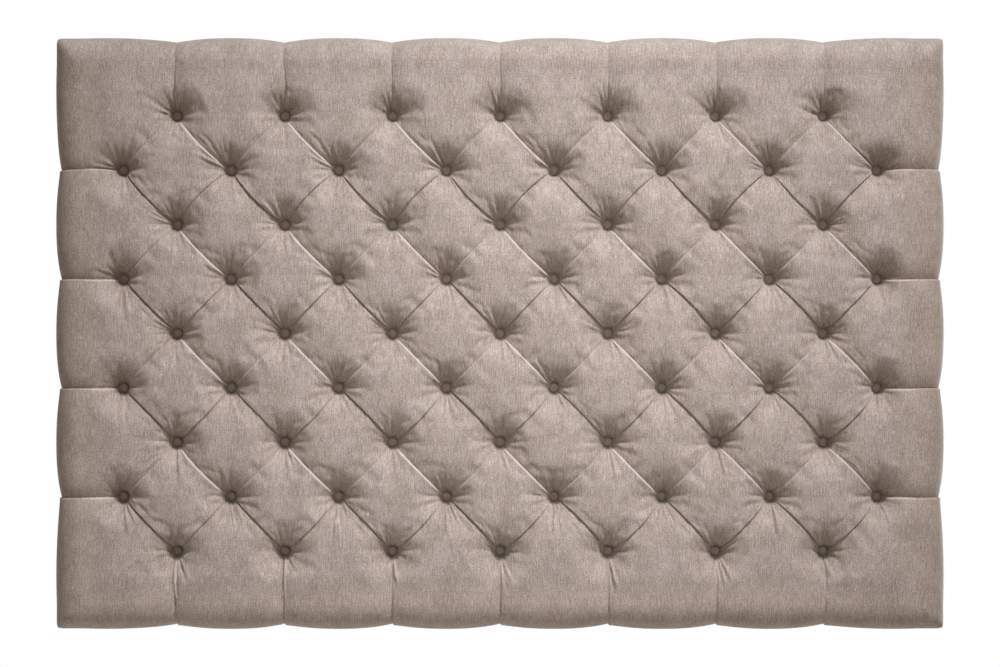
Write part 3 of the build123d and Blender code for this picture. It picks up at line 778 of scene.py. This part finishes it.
button_cloth = upholstery_cloth("button_cloth", (0.385, 0.315, 0.275), (0.54, 0.46, 0.42), (0.26, 0.205, 0.170),
                                0.25, 0.0004)
ring = np.arange(button_rings * button_spokes).reshape(button_rings, button_spokes)
button_quads = grid_faces(np.concatenate([ring, ring[:, :1]], 1))
for row, spots in enumerate(button_spots):
    shapes = [button_shape(x, z, seat_rise - button_sink) for x, z in spots]
    points = np.concatenate([shape for shape, _ in shapes])
    flats = np.concatenate([flat for _, flat in shapes])
    row_quads = np.concatenate([button_quads + number * ring.size for number in range(len(spots))])
    buttons = surface(f"covered_buttons_{row + 1}", points, row_quads, flats)
    buttons.data.materials.append(button_cloth)
    fill_ends(buttons)
    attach(buttons, "panel")
    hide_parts(f"button_row_{row + 1}")


# Foam. A slab of soft open-cell foam is glued to the face board, and the tufting draws it down to a pit under
# every button and a valley under every pleat. Its sides are covered by the wadding.
foam_gap, pit_room, foam_corner, glue_gap = 0.0062, 0.011, 12, 0.0004
foam_shares = fine_shares[[0, 6, 14, 20, 24, 28, 32, 36, 40, 44, 50, 58, 64]]
foam_flat, _, foam_quads, foam_number, foam_places, foam_turns = front_net(foam_shares)
foam_cover, _, _, foam_funnel = cover_height(*foam_flat.T)
foam_level = foam_cover - foam_gap - pit_room * foam_funnel ** 0.6
foam_high = foam_level[foam_number]
foam_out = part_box("foam_pad")[1].x - flat_side - edge_swell
foam_normal = np.stack([np.cos(foam_turns), np.sin(foam_turns)], -1)
foam_top = wall_top - foam_gap
foam_rows = []
for turn in np.radians((18, 36, 54, 72, 90)):
    out = foam_out * math.sin(turn) * corner_reach(foam_turns, foam_corner)
    level = foam_top + (foam_high - foam_top) * math.cos(turn)
    foam_rows.append(on_front(foam_places + foam_normal * out[:, None], level))
foam_rows.append(on_front(foam_places + foam_normal * out[:, None], glue_gap))
foam_rim, foam_threes = rim_net(len(foam_flat), foam_number, len(foam_rows))
foam = surface("foam_slab", np.concatenate([on_front(foam_flat, foam_level), *foam_rows]),
               np.concatenate([foam_quads, foam_rim]), threes=foam_threes)
fill_ends(foam)


def cell_foam(name, colour, dark, scale, rise):
    """Open-cell foam or loose fibre: small pits, with yellowing in patches."""
    material, tree, body = blank(name)
    place = shader(tree, "TexCoord")["Object"]
    cells = shader(tree, "TexVoronoi", {"Vector": place, "Scale": scale})["Distance"]
    patches = shader(tree, "TexNoise", {"Vector": place, "Scale": 7.0})["Fac"]
    both = shader(tree, "Math", {0: cells, 1: patches}, operation="MULTIPLY")[0]
    feed(tree, body, {"Base Color": mixed(tree, both, (*colour, 1), (*dark, 1)),
                      "Normal": raised(tree, cells, 1.0, rise), "Roughness": 0.95})
    return material


foam.data.materials.append(cell_foam("cream_foam", (0.80, 0.74, 0.56), (0.62, 0.52, 0.33), 900.0, 0.0006))
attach(foam, "panel")
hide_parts("foam_pad")

# Edge wadding. A band of polyester wadding is wrapped once round the frame and the face board, under the cloth,
# so that no hard edge shows through. It is soft, so its outer face swells and dips.
wadding_low, wadding_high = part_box("edge_wadding")
wadding_out, wadding_up = wadding_high.x, (wadding_high.z - wadding_low.z) / 2
wadding_thick, wadding_dip = 0.004, 0.0009


def wadding_band(steps, rows):
    """A closed band: rectangles round the panel at rows of depth, out along the outer face and back along the inner.

    The outline is a rectangle walked at even steps; the outer face moves in by a few tenths of a millimetre with
    sines of the place along it.
    """
    walk = np.linspace(0, 4, 4 * steps, endpoint=False)
    side, share = walk.astype(int) % 4, 2 * (walk % 1) - 1
    across, up = np.choose(side, (share, 1, -share, -1)), np.choose(side, (1, -share, -1, share))
    depth = np.linspace(wadding_low.y, wadding_high.y, rows)
    depth = np.concatenate([depth, depth[::-1]])[:, None]
    inset = np.repeat((0, wadding_thick), rows)[:, None]
    dip = wadding_dip * (1 + np.sin(23 * walk + 2 * np.sin(9 * walk)) * np.sin(170 * depth)) * (inset == 0)
    x = across * (wadding_out - inset - dip)
    return np.stack([x, depth + 0 * x, panel_z + up * (wadding_up - inset - dip)], -1)


band = wadding_band(60, 6)
band_index = np.pad(np.arange(band[..., 0].size).reshape(band.shape[:2]), ((0, 1), (0, 1)), "wrap")
wadding = surface("wadding_band", band.reshape(-1, 3), grid_faces(band_index))
wadding.data.materials.append(cell_foam("white_wadding", (0.86, 0.85, 0.82), (0.70, 0.69, 0.66), 420.0, 0.0012))
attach(wadding, "panel")
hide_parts("edge_wadding")

# Dust cloth. A sheet of black spunbonded cloth closes the back, cut with a window round each piece of wood that
# passes through it, pulled taut by hand and stapled along its edges, so it puckers a little between staples.
dust_low, dust_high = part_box("dust_cloth")
dust_thick, dust_step, window_gap, staple_pitch, staple_inset = 0.0005, 0.011, 0.002, 0.058, 0.011
dust_in, pucker_rise, pucker_fade, slack_sag, taut_edge, sag_fade = 0.0002, 0.0009, 0.03, 0.0004, 0.018, 0.05
windows = []
for node, bevelled in (("panel_batten", True), ("lower_spacer", False)):
    low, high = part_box(node)
    foot = low.z + (high.y - dust_low.y if bevelled else -window_gap)
    windows.append((low.x - window_gap, high.x + window_gap, foot, high.z + window_gap))


def stops_through(low, high, cuts, step):
    """Near even stops from one end to the other that also pass through every cut."""
    marks = [low, *sorted(cuts), high]
    runs = [np.linspace(a, b, max(1, math.ceil((b - a) / step)), endpoint=False)
            for a, b in zip(marks[:-1], marks[1:])]
    return np.concatenate([*runs, [high]])


dust_x = stops_through(dust_low.x, dust_high.x, {cut for window in windows for cut in window[:2]}, dust_step)
dust_z = stops_through(dust_low.z, dust_high.z, {cut for window in windows for cut in window[2:]}, dust_step)
across, up = np.meshgrid(dust_x, dust_z, indexing="ij")
side_gap = np.minimum(across - dust_low.x, dust_high.x - across)
end_gap = np.minimum(up - dust_low.z, dust_high.z - up)
rim_gap, edge_walk = np.minimum(side_gap, end_gap), np.where(side_gap < end_gap, up, across)
pucker = pucker_rise * np.sin(np.pi * edge_walk / staple_pitch) ** 2 * np.exp(-rim_gap / pucker_fade)
slack = 1.6 + np.sin(7 * across + 3 * up) * np.sin(11 * up - 4 * across) + 0.6 * np.sin(23 * across + 17 * up)
sag = slack_sag * slack * np.clip((rim_gap - taut_edge) / sag_fade, 0, 1)
dust_depth = dust_high.y - dust_in + pucker - sag
sheet_quads = grid_faces(np.arange(across.size).reshape(across.shape))
middle_x, middle_z = (across[:-1, :-1] + across[1:, 1:]).ravel() / 2, (up[:-1, :-1] + up[1:, 1:]).ravel() / 2
solid = np.ones(len(sheet_quads), bool)
for low_x, high_x, low_z, high_z in windows:
    solid &= ~((middle_x > low_x) & (middle_x < high_x) & (middle_z > low_z) & (middle_z < high_z))
dust_points = np.stack([across, dust_depth, up], -1).reshape(-1, 3)
dust = surface("dust_sheet", dust_points, sheet_quads[solid][:, ::-1], dust_points[:, [0, 2]])
thickness = dust.modifiers.new("thickness", "SOLIDIFY")
thickness.thickness, thickness.offset = dust_thick, -1


def spunbond(name):
    """Black spunbonded cloth: fused spots in a fine diaper pattern over tangled fibres, with a faint lustre."""
    material, tree, body = blank(name)
    place = shader(tree, "TexCoord")["Object"]
    turned = shader(tree, "Mapping", {"Vector": place, "Rotation": (0, math.radians(45), 0)})["Vector"]
    spots = shader(tree, "TexVoronoi", {"Vector": turned, "Scale": 480.0, "Randomness": 0.15})["Distance"]
    tangle = {"Vector": place, "Scale": 240.0, "Detail": 5.0, "Distortion": 1.5}
    fibres = shader(tree, "TexNoise", tangle)["Fac"]
    both = shader(tree, "Math", {0: spots, 1: fibres}, operation="MULTIPLY")[0]
    feed(tree, body, {"Base Color": mixed(tree, fibres, (0.016, 0.016, 0.018, 1), (0.050, 0.050, 0.054, 1)),
                      "Normal": raised(tree, both, 0.5, 0.0004), "Roughness": 0.6})
    return material


dust.data.materials.append(spunbond("black_spunbond"))
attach(dust, "panel")
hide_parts("dust_cloth")

# Staples. Fine galvanised wire staples are shot through the dust cloth's edge into the frame, lying along the
# edge about every 58 mm. The two legs are hidden in the wood, so each is made as its crown alone.
staple_crown, staple_wire, staple_sunk, staple_set = 0.0105, 0.0007, 0.0030, np.random.default_rng(19)


def staple_points(x, z, turn):
    """Eight corners of a staple's crown: a flat bar on the cloth, leant by a few degrees and pressed in by a hair."""
    lean = turn + staple_set.normal(0, 0.06)
    bar = np.array([(a, b) for a in (-0.5, 0.5) for b in (-0.5, 0.5)]) * (staple_crown, staple_wire)
    place = (x, z) + bar @ [(math.cos(lean), math.sin(lean)), (-math.sin(lean), math.cos(lean))]
    low, high = dust_high.y - staple_sunk, dust_high.y - staple_set.uniform(0, 0.0002)
    return np.concatenate([np.insert(place, 1, low, axis=1), np.insert(place, 1, high, axis=1)])


bar_quads = np.array([(0, 2, 3, 1), (4, 5, 7, 6), (0, 4, 6, 2), (1, 3, 7, 5), (0, 1, 5, 4), (2, 6, 7, 3)])
spots = []
for edge, turn in ((dust_low.z + staple_inset, 0.0), (dust_high.z - staple_inset, 0.0)):
    spots += [(x, edge, turn) for x in np.arange(dust_low.x + 0.03, dust_high.x - 0.02, staple_pitch)]
for edge in (dust_low.x + staple_inset, dust_high.x - staple_inset):
    spots += [(edge, z, math.pi / 2) for z in np.arange(dust_low.z + 0.05, dust_high.z - 0.04, staple_pitch)]
bars = [staple_points(x + staple_set.normal(0, 0.002), z + staple_set.normal(0, 0.001), turn)
        for x, z, turn in spots]
staple_quads = np.concatenate([bar_quads + len(bars[0]) * number for number in range(len(bars))])
staples = surface("dust_staples", np.concatenate(bars), staple_quads)
fill_ends(staples)
staples.data.polygons.foreach_set("use_smooth", np.zeros(len(staples.data.polygons), dtype=bool))


def worn_metal(name, colour, roughness, scale):
    """Plated steel, its tone and shine clouded by handling."""
    material, tree, body = blank(name)
    place = shader(tree, "TexCoord")["Object"]
    cloud = shader(tree, "TexNoise", {"Vector": place, "Scale": scale, "Detail": 5.0})["Fac"]
    dull = (*(0.72 * part for part in colour), 1)
    shine = shader(tree, "MapRange", {"Value": cloud, "To Min": roughness - 0.1, "To Max": roughness + 0.18})
    feed(tree, body, {"Base Color": mixed(tree, cloud, (*colour, 1), dull), "Metallic": 1.0,
                      "Normal": raised(tree, cloud, 0.2, 0.0001), "Roughness": shine["Result"]})
    return material


staples.data.materials.append(worn_metal("staple_wire", (0.60, 0.61, 0.62), 0.38, 700.0))
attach(staples, "panel")

# Hardware. Zinc-plated wood screws hold the batten and the spacer, felt pads keep the panel off the wall, and
# behind the face board each button's waxed twine is tied round a small moulded toggle.
paint_node("batten_screws", worn_metal("zinc_screws", (0.66, 0.64, 0.58), 0.32, 420.0))
paint_node("spacer_screws", worn_metal("spacer_zinc", (0.64, 0.63, 0.58), 0.34, 380.0))
paint_node("wall_pads", cell_foam("grey_felt", (0.20, 0.20, 0.21), (0.11, 0.11, 0.12), 1400.0, 0.0005))
paint_node("tufting_twine", cell_foam("waxed_twine", (0.66, 0.58, 0.42), (0.48, 0.40, 0.27), 1100.0, 0.0004))
paint_node("twine_toggles", cell_foam("toggle_nylon", (0.80, 0.79, 0.74), (0.71, 0.70, 0.66), 500.0, 0.0001))
